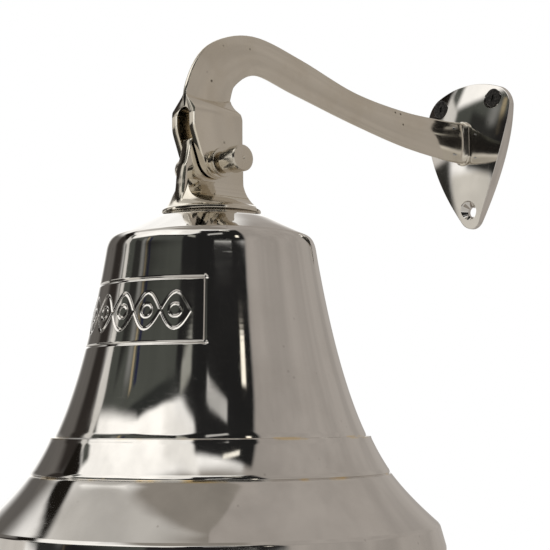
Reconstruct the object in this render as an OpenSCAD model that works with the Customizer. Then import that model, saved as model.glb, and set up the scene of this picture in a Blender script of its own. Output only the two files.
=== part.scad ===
// Wall-hung ship bell on a swan-neck bracket, with its clapper.
// Millimetres. +Z is up, the wall is the plane Y = 0, and the bell hangs in front of it, towards -Y.
// The origin is on the back face of the wall plate, level with the root of the arm.

/* [Bell] */
// Diameter of the mouth
mouth_d = 200; // [196:1:202]
// Height from the rim to the seat under the crown
bell_h = 147.3; // [146:0.5:148]
// Wall thickness at the waist
waist_wall = 3.6; // [3:0.1:4.5]
// Wall thickness of the lip
lip_wall = 6; // [5:0.5:7]

/* [Bracket] */
// Distance from the wall to the axis of the bell
reach = 175; // [172:1:190]
// Depth of the pivot below the root of the arm
pivot_drop = 31; // [30:0.5:32]
// Height from the rim of the bell to the pivot
hang = 169.5; // [169:0.5:171]
// Thickness of the arm
arm_t = 5; // [4.5:0.5:6]
// Thickness over both ears of the fork
fork_w = 16.6; // [16:0.2:18]
// Width of the slot between the ears
slot_w = 8.8; // [8.6:0.1:9.2]

/* [Wall plate] */
// Thickness of the plate where the arm joins it
plate_t = 8; // [7:0.5:9]
// Distance between the two upper screw holes
hole_span = 36; // [32:1:38]
// Radius of the screw holes
hole_r = 2.6; // [2.5:0.1:2.8]

/* [Pivot] */
// Radius of the pivot bolt's shank
bolt_r = 3; // [2.8:0.1:3.2]
// Radius of the round nut and of the bolt's round head
knob_r = 5.8; // [5.5:0.1:6.2]
// Length of the round nut and of the bolt's round head
knob_len = 13; // [11:0.5:14]

/* [Clapper] */
// Radius of the clapper's ball
ball_r = 15; // [13:0.5:15]
// Height of the ball's centre above the rim
ball_h = 26; // [24:1:28]
// Radius of the clapper's rod
rod_r = 3; // [2.5:0.5:4]
// Radius of the wire of the link
link_r = 1.4; // [1.2:0.1:1.5]

/* [Hidden] */
$fn = 96;

nickel = [0.74, 0.72, 0.69];
brass = [0.80, 0.66, 0.38];
fibre = [0.25, 0.20, 0.16];
eps = 0.02;
fit = 0.05;
gap = 0.3;

mouth_r = mouth_d / 2;
axis_y = -reach;
pivot_z = -pivot_drop;
rim_z = pivot_z - hang;
seat_z = rim_z + bell_h;

// Heights of the bell's features above its rim, and the radii there
lip_h = 14;
lip_r = mouth_r - 2.8;
line_h = 35;
line_r = mouth_r - 23;
ledge_h = 50.6;
ledge_r = mouth_r - 31.2;
ledge_step = 1.9;
shoulder_h = 132.7;
shoulder_r = mouth_r - 54.1;
cone_h = 136.8;
cone_r = mouth_r - 57.2;
seat_r = 21.6;
stud_r = 5;
stud_h = 128;
gasket_r = 12;
gasket_t = 0.6;

// The sunk frame of the name panel, centred on the side away from the wall
panel_low = 88;
panel_high = 115.6;
panel_half_angle = 50;
panel_line = 1.2;
panel_depth = 0.5;

// The fork and its ears, and the crown's tongue between them
tongue_t = 6.6;
bush_r = 4.5;
fork_low = rim_z + 150;
head_end = fork_w / 2 + 1.2;
slot_top = rim_z + 193.5;
shoulder_low = rim_z + 192;
shoulder_high = rim_z + 198.2;
ear_front = -15.5;
ear_back = 11;
ear_r = 9.4;
ear_c = [-1.2, rim_z + 172];

// The wall plate: its top and tip, the circles of its upper corners and tip, and the dome of its face
plate_top = 32;
plate_tip = -44.5;
corner_c = [15.6, 16.5];
corner_r = 12.6;
tip_r = 7;
dome_r = 150;
dome_z = -4;
lower_hole_z = -35.5;
upper_hole_z = 22;

// The two wall screws: their heads, where the heads' rims lie, their plain necks and their threads
head_r = 4.8;
head_y = -4.9;
head_h = 2.9;
neck_r = 2;
thread_r = 2.3;
thread_y = 0.3;
thread_len = 4.2;
tip_len = 4;

// The arm's foot, sunk in the plate, and the two screws that hold it
foot_w = 10;
foot_h = 23.5;
foot_y = -7;
screw_pitch = 13;
arm_screw_r = 2;
arm_screw_len = 18;

// The chain that carries the clapper, as heights above the rim
ring_r = 5.5;
ring_wire = 1.75;
eye_stem_r = 2.5;
eye_h = 119.5;
link_top_h = eye_h - ring_r + ring_wire + gap + link_r;
link_bend = 4.2;
link_straight = 8;
link_low_h = link_top_h - 2 * link_bend - link_straight;
rod_top_h = link_low_h + link_r + gap + ring_wire;
rod_eye_h = rod_top_h - ring_r;
tail_h = -2;
tail_eye_r = 5;
tail_hole_r = 2.8;

// Point at t on a curve with one control point, from a to c by way of b
function bend(a, b, c, t) = (1 - t) * (1 - t) * a + 2 * t * (1 - t) * b + t * t * c;

// The points of such a curve, in n steps
function curve(a, b, c, n) = [for (i = [0:n]) bend(a, b, c, i / n)];

// Points along the arc of a circle
function arc(c, r, from, to, n) = [
    for (i = [0:n]) let (a = from + (to - from) * i / n) c + r * [cos(a), sin(a)]
];

// Point at t on the smooth curve through four stations, between the middle two
function glide(p, q, r, s, t) =
    0.5 * (2 * q + (r - p) * t + (2 * p - 5 * q + 4 * r - s) * t * t + (3 * q - p - 3 * r + s) * t * t * t);

// A smooth run of stations through a short list of them
function smooth(list, n) = [
    for (i = [0:len(list) - 2], j = [0:n - 1])
        glide(list[max(i - 1, 0)], list[i], list[i + 1], list[min(i + 2, len(list) - 1)], j / n),
    list[len(list) - 1]
];

// Point where the line from p touches the circle of radius r about c, on side s
function touch(p, c, r, s) =
    let (d = norm(p - c), a = atan2(p[1] - c[1], p[0] - c[0]) + s * acos(r / d))
    c + r * [cos(a), sin(a)];

// Puts a shape drawn in the XY plane into the YZ plane, w thick about X = 0
module across(w) {
    translate([-w / 2, 0, 0]) rotate([90, 0, 90]) linear_extrude(w) children();
}

module tube(r, hole, h) {
    difference() {
        cylinder(h = h, r = r);
        translate([0, 0, -eps]) cylinder(h = h + 2 * eps, r = hole);
    }
}

// A tube along X with its near end at x
module tube_x(x, r, hole, h) {
    translate([x, axis_y, pivot_z]) rotate([0, 90, 0]) tube(r, hole, h);
}

// A ring of round wire standing in the YZ plane, h above the rim
module wire_ring(h, r, wire) {
    translate([0, axis_y, rim_z + h]) rotate([0, 90, 0]) rotate_extrude() translate([r, 0]) circle(r = wire);
}

// Wall plate

// Right half of the outline, from the middle of the top edge to the tip
function plate_half() =
    let (low = [0, plate_tip + tip_r])
    concat(
        curve([0, plate_top], [11, plate_top], corner_c + corner_r * [cos(62), sin(62)], 5),
        arc(corner_c, corner_r, 55, 12, 7),
        curve(
            corner_c + corner_r * [cos(5), sin(5)],
            [27, -7],
            low + tip_r * [cos(-28), sin(-28)],
            12
        ),
        arc(low, tip_r, -40, -78, 4)
    );

module plate_outline() {
    half = plate_half();
    polygon(concat(half, [for (i = [len(half) - 1:-1:1]) [-half[i][0], half[i][1]]]));
}

// The foot's outline in the plane of the wall
module foot_outline(grow = 0) {
    square([foot_w + 2 * grow, foot_h - foot_w], center = true);
    for (s = [-1, 1])
        translate([0, s * (foot_h - foot_w) / 2]) circle(r = foot_w / 2 + grow);
}

// Lays a shape drawn in the XY plane against the wall, from y to y - h
module on_wall(y, h) {
    translate([0, y, 0]) rotate([90, 0, 0]) linear_extrude(h) children();
}

// A hole through the plate with its countersink, at x and z
module screw_hole(x, z) {
    translate([x, eps, z]) rotate([90, 0, 0]) cylinder(h = plate_t + 2, r = hole_r);
    translate([x, head_y + head_h + gap, z]) rotate([90, 0, 0])
        cylinder(h = 5.6, r1 = hole_r - 0.4, r2 = head_r + 2.4);
}

module wall_plate() {
    color(nickel) difference() {
        intersection() {
            on_wall(0, plate_t + 1) plate_outline();
            translate([0, dome_r - plate_t, dome_z]) sphere(r = dome_r, $fn = 200);
        }
        on_wall(foot_y, 4) foot_outline(fit);
        for (s = [-1, 1])
            screw_hole(s * hole_span / 2, upper_hole_z);
        screw_hole(0, lower_hole_z);
        for (s = [-1, 1])
            translate([0, 0, s * screw_pitch / 2]) rotate([90, 0, 0]) {
                translate([0, 0, -eps]) cylinder(h = plate_t, r = arm_screw_r + 0.6);
                translate([0, 0, -eps]) cylinder(h = 2.6, r1 = 5, r2 = arm_screw_r + 0.6);
            }
    }
}

// Bracket arm: a flat swan neck, a fork at its outer end and a foot at the wall

// Stations along the arm: distance from the bell's axis towards the wall, height above the rim, depth
arm_stations = [
    [-2.2, 191, 26.4], [-2.2, 201, 25.4], [5, 214.7, 22.6], [24, 222.8, 18.2], [51, 217.2, 18],
    [86, 208, 15.8], [121, 202.4, 18], [150, 200.6, 20.6], [reach + foot_y - 4, 200.5, 23]
];

module arm_outline() {
    run = smooth(arm_stations, 7);
    last = len(run) - 1;
    way = [
        for (i = [0:last])
            let (d = run[min(i + 1, last)] - run[max(i - 1, 0)])
            [-d[1], d[0]] / norm([d[0], d[1]])
    ];
    upper = [for (i = [0:last]) [run[i][0], run[i][1]] + way[i] * run[i][2] / 2];
    lower = [for (i = [last:-1:0]) [run[i][0], run[i][1]] - way[i] * run[i][2] / 2];
    translate([axis_y, rim_z]) polygon(concat(upper, lower));
}

// The fork seen from the side
module ear_outline() {
    front = [ear_front, rim_z + 184];
    back = [ear_back, rim_z + 178];
    translate([axis_y, 0]) {
        polygon([
            [ear_front + 0.6, shoulder_high],
            [ear_front, rim_z + 190],
            front,
            touch(front, ear_c, ear_r, 1),
            ear_c,
            touch(back, ear_c, ear_r, -1),
            back,
            [ear_back, rim_z + 190],
            [ear_back - 2, rim_z + 194.5],
            [ear_back - 0.4, shoulder_high]
        ]);
        translate(ear_c) circle(r = ear_r);
    }
}

// The fork seen from the front
module fork_outline() {
    difference() {
        polygon([
            [-fork_w / 2, fork_low], [-fork_w / 2, shoulder_low], [-arm_t / 2, shoulder_high],
            [arm_t / 2, shoulder_high], [fork_w / 2, shoulder_low], [fork_w / 2, fork_low]
        ]);
        translate([0, slot_top - slot_w / 2]) circle(r = slot_w / 2);
        translate([-slot_w / 2, fork_low - 1]) square([slot_w, slot_top - slot_w / 2 - fork_low + 1]);
    }
}

module bracket_arm() {
    color(nickel) difference() {
        union() {
            across(arm_t) arm_outline();
            intersection() {
                across(fork_w) ear_outline();
                on_wall(0, reach + 40) fork_outline();
            }
            // the arm spreads into its foot, which ends in a collar
            hull() {
                translate([-arm_t / 2, foot_y - 12, -10.8]) cube([arm_t, 0.5, 21.6]);
                on_wall(foot_y - 2, 0.5, $fn = 32) foot_outline(-1);
            }
            on_wall(foot_y, 2.2) foot_outline();
        }
        translate([-fork_w / 2 - 1, axis_y, pivot_z]) rotate([0, 90, 0])
            cylinder(h = fork_w + 2, r = bolt_r + fit);
        for (s = [-1, 1])
            translate([0, foot_y + 1, s * screw_pitch / 2]) rotate([90, 0, 0])
                cylinder(h = 13, r = arm_screw_r);
    }
}

// A countersunk screw with its head flush at the wall plane, pointing away from the wall
module arm_screws() {
    color(nickel)
        for (s = [-1, 1])
            translate([0, -0.1, s * screw_pitch / 2]) rotate([90, 0, 0]) {
                difference() {
                    cylinder(h = 2.4, r1 = 4.7, r2 = arm_screw_r);
                    translate([0, 0, -eps]) cylinder(h = 1.2, r = arm_screw_r, $fn = 6);
                }
                cylinder(h = arm_screw_len, r = arm_screw_r - eps);
            }
}

// The two upper wood screws, driven through the plate into the wall
module wall_screws() {
    neck_len = thread_y - head_y;
    color([0.30, 0.29, 0.28])
        for (s = [-1, 1])
            translate([s * hole_span / 2, head_y, upper_hole_z]) rotate([-90, 0, 0]) {
                difference() {
                    cylinder(h = head_h, r1 = head_r, r2 = neck_r);
                    for (turn = [0, 90])
                        rotate(turn) translate([-2.4, -0.5, -eps]) cube([4.8, 1, 1.3]);
                }
                cylinder(h = neck_len, r = neck_r);
                translate([0, 0, neck_len]) {
                    cylinder(h = thread_len, r = thread_r);
                    translate([0, 0, thread_len]) cylinder(h = tip_len, r1 = thread_r, r2 = 0.3);
                }
            }
}

// Pivot

module pivot_bolt() {
    color(nickel) translate([-head_end, axis_y, pivot_z]) rotate([0, 90, 0]) {
        cylinder(h = 2 * head_end + knob_len - 3, r = bolt_r);
        rotate([180, 0, 0]) rotate_extrude() polygon(concat(
            [[0, 0], [knob_r - 0.4, 0], [knob_r, 0.4]],
            curve([knob_r, knob_len - 3], [knob_r, knob_len], [knob_r - 3.4, knob_len], 5),
            [[0, knob_len + 0.2]]
        ));
    }
}

module pivot_nut() {
    color(nickel) difference() {
        translate([head_end, axis_y, pivot_z]) rotate([0, 90, 0]) rotate_extrude() polygon([
            [0, 0], [knob_r - 0.5, 0], [knob_r, 0.5], [knob_r, knob_len - 0.6], [knob_r - 0.6, knob_len],
            [0.5, knob_len], [0, knob_len - 0.8]
        ]);
        translate([head_end - eps, axis_y, pivot_z]) rotate([0, 90, 0])
            cylinder(h = knob_len - 2.5, r = bolt_r + fit);
    }
}

module pivot_washers() {
    t = head_end - fork_w / 2 - 2 * fit;
    color(nickel)
        for (x = [fork_w / 2 + fit, fit - head_end])
            tube_x(x, knob_r + 0.7, bolt_r + fit, t);
}

// Thin washers that keep the crown's tongue off the ears
module thrust_washers() {
    t = (slot_w - tongue_t) / 2 - 0.2;
    color([0.85, 0.83, 0.76])
        for (x = [tongue_t / 2 + 0.15, -tongue_t / 2 - 0.15 - t])
            tube_x(x, 6, bolt_r + fit, t);
}

module pivot_bush() {
    color(brass) tube_x(-tongue_t / 2, bush_r - eps, bolt_r + fit, tongue_t);
}

// The crown's tongue seen from the side, as [depth from the bell's axis, height above the bell's seat]
function tongue_outline(top) = concat(
    curve([-20.5, 1.6], [-17.4, 5.5], [-17, 14], 6),
    curve([-16.4, 20], [-14.2, 26], [-13.4, 31], 4),
    curve([-13.3, 31.7], [-13.2, top], [-9.5, top], 5),
    curve([12, top], [15.6, top], [15.6, 31.6], 5),
    curve([15.6, 18], [15.6, 6], [20.5, 1.6], 8)
);

// Crown: a flange and flared stem that end in a flat tongue, with a stud below
module crown_lug() {
    flange_r = 21.8;
    flare_h = 14;
    tongue_top = hang + 10.5 - bell_h;
    flank = curve([flange_r + 0.2, 2.2], [4.8, 3.2], [tongue_t / 2 + 0.2, flare_h + 0.1], 10);
    color(nickel) difference() {
        union() {
            intersection() {
                translate([0, axis_y, seat_z]) rotate_extrude() polygon(concat(
                    [[0, 0], [flange_r, 0], [flange_r, 1.4]],
                    curve([flange_r - 0.9, 1.9], [17.6, 5], [15.8, flare_h], 8),
                    [[0, flare_h]]
                ));
                translate([0, axis_y, seat_z]) rotate([90, 0, 0]) linear_extrude(3 * flange_r, center = true)
                    for (side = [-1, 1]) scale([side, 1])
                        polygon(concat([[-eps, -1], [flange_r + 0.2, -1]], flank, [[-eps, flare_h + 0.1]]));
            }
            across(tongue_t) translate([axis_y, seat_z]) polygon(tongue_outline(tongue_top));
            translate([0, axis_y, rim_z + stud_h]) cylinder(h = bell_h - stud_h + 1, r = stud_r);
        }
        translate([-tongue_t, axis_y, pivot_z]) rotate([0, 90, 0]) cylinder(h = 2 * tongue_t, r = bush_r);
        translate([0, axis_y, rim_z + stud_h - eps]) cylinder(h = 12, r = eye_stem_r + fit);
    }
}

// Bell

// Outer side of the bell from the rim to the seat, as [radius, height above the rim]
function bell_outer() = concat(
    [[mouth_r - 1.5, 0], [mouth_r, 1.5], [mouth_r + 0.1, 4], [lip_r + 0.5, lip_h - 1], [lip_r - 0.4, lip_h]],
    curve([lip_r - 0.4, lip_h], [lip_r - 12.5, 25], [line_r + 0.7, line_h - 0.6], 8),
    [[line_r - 0.3, line_h]],
    curve([line_r - 0.1, line_h + 0.6], [line_r - 4.6, 43], [ledge_r, ledge_h], 5),
    [[ledge_r - ledge_step, ledge_h + 0.3]],
    curve(
        [ledge_r - ledge_step - 0.2, ledge_h + 0.5],
        [mouth_r - 45.4, 78],
        [shoulder_r, shoulder_h],
        14
    ),
    curve([shoulder_r, shoulder_h], [mouth_r - 54.7, 135.5], [cone_r, cone_h], 6),
    [[seat_r, bell_h]]
);

// Inner side from the crown down to the rim
function bell_inner() = concat(
    [[20, bell_h - 5], [cone_r - 3, cone_h - 4.2]],
    curve(
        [cone_r - 3, cone_h - 4.2],
        [shoulder_r - waist_wall + 0.4, shoulder_h],
        [shoulder_r - waist_wall + 0.6, shoulder_h - 6],
        5
    ),
    curve(
        [shoulder_r - waist_wall + 0.9, shoulder_h - 8],
        [mouth_r - 45.4 - waist_wall, 78],
        [ledge_r - ledge_step - waist_wall - 0.4, ledge_h],
        12
    ),
    curve(
        [ledge_r - ledge_step - waist_wall + 0.2, ledge_h - 2],
        [line_r - 1.5 * waist_wall + 2, line_h - 6],
        [mouth_r - lip_wall - 4, 9],
        10
    ),
    [[mouth_r - lip_wall, 2], [mouth_r - lip_wall + 1.5, 0]]
);

// One long side of the sunk frame, as a ring cut that follows the wall
module panel_band(h, r, sweep) {
    rotate(-90 - sweep) rotate_extrude(angle = 2 * sweep)
        translate([r - panel_depth, h]) square([3, panel_line]);
}

module bell_shell() {
    low_r = 54.3;
    high_r = 48.95;
    lean = atan2(low_r - high_r, panel_high - panel_low);
    color(nickel) translate([0, axis_y, rim_z]) difference() {
        rotate_extrude() polygon(concat(
            bell_outer(),
            [[gasket_r + 0.05, bell_h], [gasket_r + 0.05, bell_h - gasket_t]],
            [[stud_r + 0.2, bell_h - gasket_t], [stud_r + 0.2, bell_h - 5]],
            bell_inner()
        ));
        panel_band(panel_low, low_r, panel_half_angle);
        panel_band(panel_high - panel_line, high_r, panel_half_angle);
        for (s = [-1, 1])
            rotate(-90 + s * panel_half_angle)
                translate([low_r - panel_depth, 0, panel_low + 0.2]) rotate([0, -lean, 0])
                    translate([0, -panel_line / 2, 0]) cube([3, panel_line, 27.4]);
    }
}

// Parts under the crown, from the inside of the bell downwards

module crown_gasket() {
    color(fibre) translate([0, axis_y, seat_z - gasket_t]) tube(gasket_r, stud_r + fit, gasket_t);
}

module inner_gasket() {
    color(fibre) translate([0, axis_y, seat_z - 6.5]) tube(16, stud_r + fit, 1.5);
}

module inner_washer() {
    color(brass) translate([0, axis_y, seat_z - 8.5]) tube(14, stud_r + fit, 2);
}

module crown_nut() {
    color(brass) translate([0, axis_y, seat_z - 16.5]) difference() {
        cylinder(h = 8, r = 9.8, $fn = 6);
        translate([0, 0, -eps]) cylinder(h = 9, r = stud_r + fit);
    }
}

// Clapper

module clapper_eye() {
    color(nickel) {
        translate([0, axis_y, rim_z + eye_h + ring_r + 1.2]) cylinder(h = 10, r = eye_stem_r);
        translate([0, axis_y, rim_z + stud_h - 2]) cylinder(h = 2 - fit, r = 4);
        wire_ring(eye_h, ring_r, ring_wire);
    }
}

// A closed oval link in the XZ plane
module clapper_link() {
    color(nickel) translate([0, axis_y, rim_z + link_top_h - link_bend]) {
        rotate([90, 0, 0]) rotate_extrude(angle = 180) translate([link_bend, 0]) circle(r = link_r);
        translate([0, 0, -link_straight]) rotate([-90, 0, 0])
            rotate_extrude(angle = 180) translate([link_bend, 0]) circle(r = link_r);
        for (s = [-1, 1])
            translate([s * link_bend, 0, -link_straight]) cylinder(h = link_straight, r = link_r);
    }
}

module clapper_rod() {
    low = ball_h - 8;
    color(nickel) {
        wire_ring(rod_eye_h, ring_r, ring_wire);
        translate([0, axis_y, rim_z]) rotate_extrude() polygon([
            [0, low], [rod_r, low], [rod_r, rod_eye_h - ring_r - 7], [rod_r + 1, rod_eye_h - ring_r - 4],
            [rod_r - 0.6, rod_eye_h - ring_r - 1], [0, rod_eye_h - ring_r]
        ]);
    }
}

module clapper_ball() {
    color(nickel) translate([0, axis_y, rim_z + ball_h]) difference() {
        sphere(r = ball_r);
        translate([0, 0, -8 - fit]) cylinder(h = 30, r = rod_r + fit);
        translate([0, 0, -20]) cylinder(h = 12.5, r = 2.5 + fit);
    }
}

// The tail screws into the ball and ends in an eye for a bell rope
module clapper_tail() {
    color(nickel) translate([0, axis_y, rim_z]) difference() {
        union() {
            rotate_extrude() polygon([
                [0, tail_h], [2.2, tail_h + 3], [2.5, tail_h + 6], [4.2, ball_h - ball_r - 1.5],
                [4.2, ball_h - ball_r - 0.1], [2.5, ball_h - ball_r - 0.1],
                [2.5, ball_h - 8.1], [0, ball_h - 8.1]
            ]);
            translate([-1.75, 0, tail_h - 1]) rotate([0, 90, 0]) cylinder(h = 3.5, r = tail_eye_r);
        }
        translate([-5, 0, tail_h - 1]) rotate([0, 90, 0]) cylinder(h = 10, r = tail_hole_r);
    }
}

wall_plate();
bracket_arm();
arm_screws();
wall_screws();
pivot_bolt();
pivot_nut();
pivot_washers();
thrust_washers();
pivot_bush();
crown_lug();
bell_shell();
crown_gasket();
inner_gasket();
inner_washer();
crown_nut();
clapper_eye();
clapper_link();
clapper_rod();
clapper_ball();
clapper_tail();
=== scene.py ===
"""Ship bell on a swan-neck wall bracket: the finished look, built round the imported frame.

Shapes are drawn in millimetres and scaled to metres when a piece is finished. Heights are given above
the rim of the bell, and depths from the axis of the bell, positive towards the wall.
"""
import math

import bmesh
import bpy
from mathutils import Matrix, Quaternion, Vector


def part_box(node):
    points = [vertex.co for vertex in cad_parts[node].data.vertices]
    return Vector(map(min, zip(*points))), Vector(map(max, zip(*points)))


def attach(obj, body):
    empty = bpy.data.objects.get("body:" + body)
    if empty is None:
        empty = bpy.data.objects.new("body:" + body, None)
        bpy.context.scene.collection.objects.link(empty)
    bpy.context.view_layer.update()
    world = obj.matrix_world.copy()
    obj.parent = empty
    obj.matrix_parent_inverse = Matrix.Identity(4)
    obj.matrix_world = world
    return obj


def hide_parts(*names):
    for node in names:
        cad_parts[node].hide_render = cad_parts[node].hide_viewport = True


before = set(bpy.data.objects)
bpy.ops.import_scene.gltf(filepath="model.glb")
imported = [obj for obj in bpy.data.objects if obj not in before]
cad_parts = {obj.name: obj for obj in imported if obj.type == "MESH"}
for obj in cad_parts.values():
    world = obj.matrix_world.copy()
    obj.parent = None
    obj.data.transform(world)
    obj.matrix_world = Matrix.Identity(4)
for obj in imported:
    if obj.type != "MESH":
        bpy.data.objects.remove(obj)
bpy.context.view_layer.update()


MM = 0.001
shell_low, shell_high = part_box("bell_shell")
nut_low, nut_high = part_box("pivot_nut")
plate_low, plate_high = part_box("wall_plate")
AXIS_Y = (shell_low.y + shell_high.y) / 2 / MM
RIM_Z = shell_low.z / MM
MOUTH_R = (shell_high.x - shell_low.x) / 2 / MM - 0.1
BELL_H = (shell_high.z - shell_low.z) / MM
PIVOT_H = (nut_low.z + nut_high.z) / 2 / MM - RIM_Z
PLATE_T = (plate_high.y - plate_low.y) / MM
REACH = -AXIS_Y

# Height above the rim of the arm's foot, which stands level with the frame's origin
ARM_H = -RIM_Z

# ON_BELL moves a piece from the bell's axis and rim to its place. The others turn what is drawn along Z:
# FROM_SIDE and FROM_FRONT stand an outline up, ALONG_X lays an axis across, the last two square to the wall.
ON_BELL = Matrix.Translation((0, AXIS_Y, RIM_Z))
FROM_SIDE = Matrix(((0, 0, 1, 0), (1, 0, 0, 0), (0, 1, 0, 0), (0, 0, 0, 1)))
FROM_FRONT = Matrix(((1, 0, 0, 0), (0, 0, -1, 0), (0, 1, 0, 0), (0, 0, 0, 1)))
ALONG_X = Matrix(((0, 0, 1, 0), (0, 1, 0, 0), (-1, 0, 0, 0), (0, 0, 0, 1)))
OUT_OF_WALL = Matrix.Rotation(math.pi / 2, 4, "X")
INTO_WALL = Matrix.Rotation(-math.pi / 2, 4, "X")


# Camera

CAMERA_AZIMUTH = math.radians(52.08)
CAMERA_DISTANCE = 0.5828
CAMERA_Z = -0.1405
CAMERA_HEADING = math.radians(49.34)
CAMERA_PITCH = math.radians(5.94)
CAMERA_ROLL = -0.0045
CAMERA_SENSOR = 36
CAMERA_LENS = 87.56


def add_camera():
    data = bpy.data.cameras.new("camera")
    data.sensor_width = CAMERA_SENSOR
    data.lens = CAMERA_LENS
    data.clip_start = 0.01
    camera = bpy.data.objects.new("camera", data)
    bpy.context.collection.objects.link(camera)
    camera.location = (
        CAMERA_DISTANCE * math.sin(CAMERA_AZIMUTH),
        AXIS_Y * MM - CAMERA_DISTANCE * math.cos(CAMERA_AZIMUTH),
        CAMERA_Z,
    )
    level = math.cos(CAMERA_PITCH)
    aim = Vector((
        -math.sin(CAMERA_HEADING) * level, math.cos(CAMERA_HEADING) * level, math.sin(CAMERA_PITCH),
    ))
    camera.rotation_mode = "QUATERNION"
    camera.rotation_quaternion = aim.to_track_quat("-Z", "Y") @ Quaternion((0, 0, 1), CAMERA_ROLL)
    bpy.context.scene.camera = camera


# Drawing helpers

def bow(a, b, c, n):
    """Points of the curve from a to c that leans towards b."""
    a, b, c = Vector(a), Vector(b), Vector(c)
    shares = [i / n for i in range(n + 1)]
    return [tuple((1 - t) ** 2 * a + 2 * t * (1 - t) * b + t * t * c) for t in shares]


def arc(x, y, r, start, end, n):
    """Points of a part of a circle, between two angles in degrees."""
    turns = [math.radians(start + (end - start) * i / n) for i in range(n + 1)]
    return [(x + r * math.cos(t), y + r * math.sin(t)) for t in turns]


def circle(x, y, r, n):
    """The n points of a whole circle; six of them are a hexagon."""
    return arc(x, y, r, 0, 360 - 360 / n, n - 1)


def rounded(points, closed=False, n=4):
    """Rounds each corner that carries a radius as its third number."""
    run = []
    count = len(points)
    for i, point in enumerate(points):
        here = Vector(point[:2])
        if len(point) < 3 or (not closed and i in (0, count - 1)):
            run.append(tuple(here))
            continue
        before = Vector(points[i - 1][:2]) - here
        after = Vector(points[(i + 1) % count][:2]) - here
        half = before.angle(after) / 2
        back = min(point[2] / math.tan(half), 0.49 * before.length, 0.49 * after.length)
        run += bow(here + before.normalized() * back, here, here + after.normalized() * back, n)
    return run


def add_run(bm, points, closed=False):
    """Adds a line of vertices and edges in the XZ plane, and returns them in that order."""
    verts = [bm.verts.new((x, 0, z)) for x, z in points]
    pairs = list(zip(verts, verts[1:])) + ([(verts[-1], verts[0])] if closed else [])
    return verts + [bm.edges.new(pair) for pair in pairs]


def lathe(bm, profile, closed=False, steps=96, turn=360, start=0):
    """Spins a profile of (radius, height) points about the Z axis, and returns the new vertices."""
    old = set(bm.verts)
    geom = add_run(bm, profile, closed)
    swing = Matrix.Rotation(math.radians(start), 3, "Z")
    bmesh.ops.rotate(bm, verts=geom[:len(profile)], cent=(0, 0, 0), matrix=swing)
    bmesh.ops.spin(bm, geom=geom, cent=(0, 0, 0), axis=(0, 0, 1), dvec=(0, 0, 0),
                   angle=math.radians(turn), steps=steps, use_merge=turn == 360)
    new = [v for v in bm.verts if v not in old]
    bmesh.ops.remove_doubles(bm, verts=new, dist=0.0005)
    return [v for v in bm.verts if v not in old]


def wire_ring(bm, radius, wire, height):
    """A ring of round wire that stands in the YZ plane."""
    ring = lathe(bm, circle(radius, 0, wire, 24), closed=True, steps=72)
    stand = Matrix.Translation((0, 0, height)) @ Matrix.Rotation(math.pi / 2, 4, "Y")
    bmesh.ops.transform(bm, matrix=stand, verts=ring)


def skin(bm, rings):
    """Joins each ring of points to the next, and returns the first and the last loop of edges."""
    loops = []
    for ring in rings:
        verts = [bm.verts.new(point) for point in ring]
        loops.append([bm.edges.new(pair) for pair in zip(verts, verts[1:] + verts[:1])])
    for one, two in zip(loops, loops[1:]):
        bmesh.ops.bridge_loops(bm, edges=one + two)
    return loops[0], loops[-1]


def solid(bm):
    """Turns a bmesh into a scratch object that the shaping steps work on."""
    bmesh.ops.remove_doubles(bm, verts=bm.verts, dist=0.0005)
    bmesh.ops.recalc_face_normals(bm, faces=bm.faces)
    mesh = bpy.data.meshes.new("solid")
    bm.to_mesh(mesh)
    bm.free()
    obj = bpy.data.objects.new("solid", mesh)
    bpy.context.collection.objects.link(obj)
    return obj


def settle(obj):
    """Makes an object's modifiers permanent."""
    bpy.context.view_layer.update()
    shown = obj.evaluated_get(bpy.context.evaluated_depsgraph_get())
    mesh = bpy.data.meshes.new_from_object(shown)
    obj.modifiers.clear()
    old, obj.data = obj.data, mesh
    bpy.data.meshes.remove(old)
    return obj


def combine(obj, other, operation):
    step = obj.modifiers.new("combine", "BOOLEAN")
    step.operation = operation
    step.solver = "EXACT"
    step.object = other
    settle(obj)
    bpy.data.objects.remove(other)
    return obj


def soften(obj, width, segments=3, angle=35):
    step = obj.modifiers.new("soften", "BEVEL")
    step.width = width
    step.segments = segments
    step.limit_method = "ANGLE"
    step.angle_limit = math.radians(angle)
    step.use_clamp_overlap = True
    return settle(obj)


def piece(name, obj, body, node, material, at=ON_BELL, sharp=32):
    """Finishes a scratch object as a piece of the object that rides on a body in place of a node."""
    obj.name = obj.data.name = name
    obj.data.transform(Matrix.Scale(MM, 4) @ at)
    obj.data.shade_smooth()
    obj.data.set_sharp_from_angle(angle=math.radians(sharp))
    obj.data.materials.clear()
    obj.data.materials.append(material)
    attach(obj, body)
    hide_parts(node)
    return obj


def turned(profile, closed=False, steps=96):
    bm = bmesh.new()
    lathe(bm, profile, closed, steps)
    return solid(bm)


def slab(outline, depth, middle=0.0, turn=None):
    """A flat outline made depth thick about its middle along Z, then stood up as turn says."""
    bm = bmesh.new()
    face = bm.faces.new([bm.verts.new((x, y, middle - depth / 2)) for x, y in outline])
    grown = bmesh.ops.extrude_face_region(bm, geom=[face])
    top = [g for g in grown["geom"] if isinstance(g, bmesh.types.BMVert)]
    bmesh.ops.translate(bm, verts=top, vec=(0, 0, depth))
    obj = solid(bm)
    if turn:
        obj.data.transform(turn)
    return obj


def placed(obj, turn=Matrix(), x=0.0, y=0.0, z=0.0):
    """Turns a scratch object about its origin and then moves it."""
    obj.data.transform(Matrix.Translation((x, y, z)) @ turn)
    return obj


def meshed(obj, *others):
    """Joins separate closed solids into one mesh."""
    bm = bmesh.new()
    for each in (obj, *others):
        bm.from_mesh(each.data)
        bpy.data.objects.remove(each)
    return solid(bm)


# Shader helpers

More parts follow.
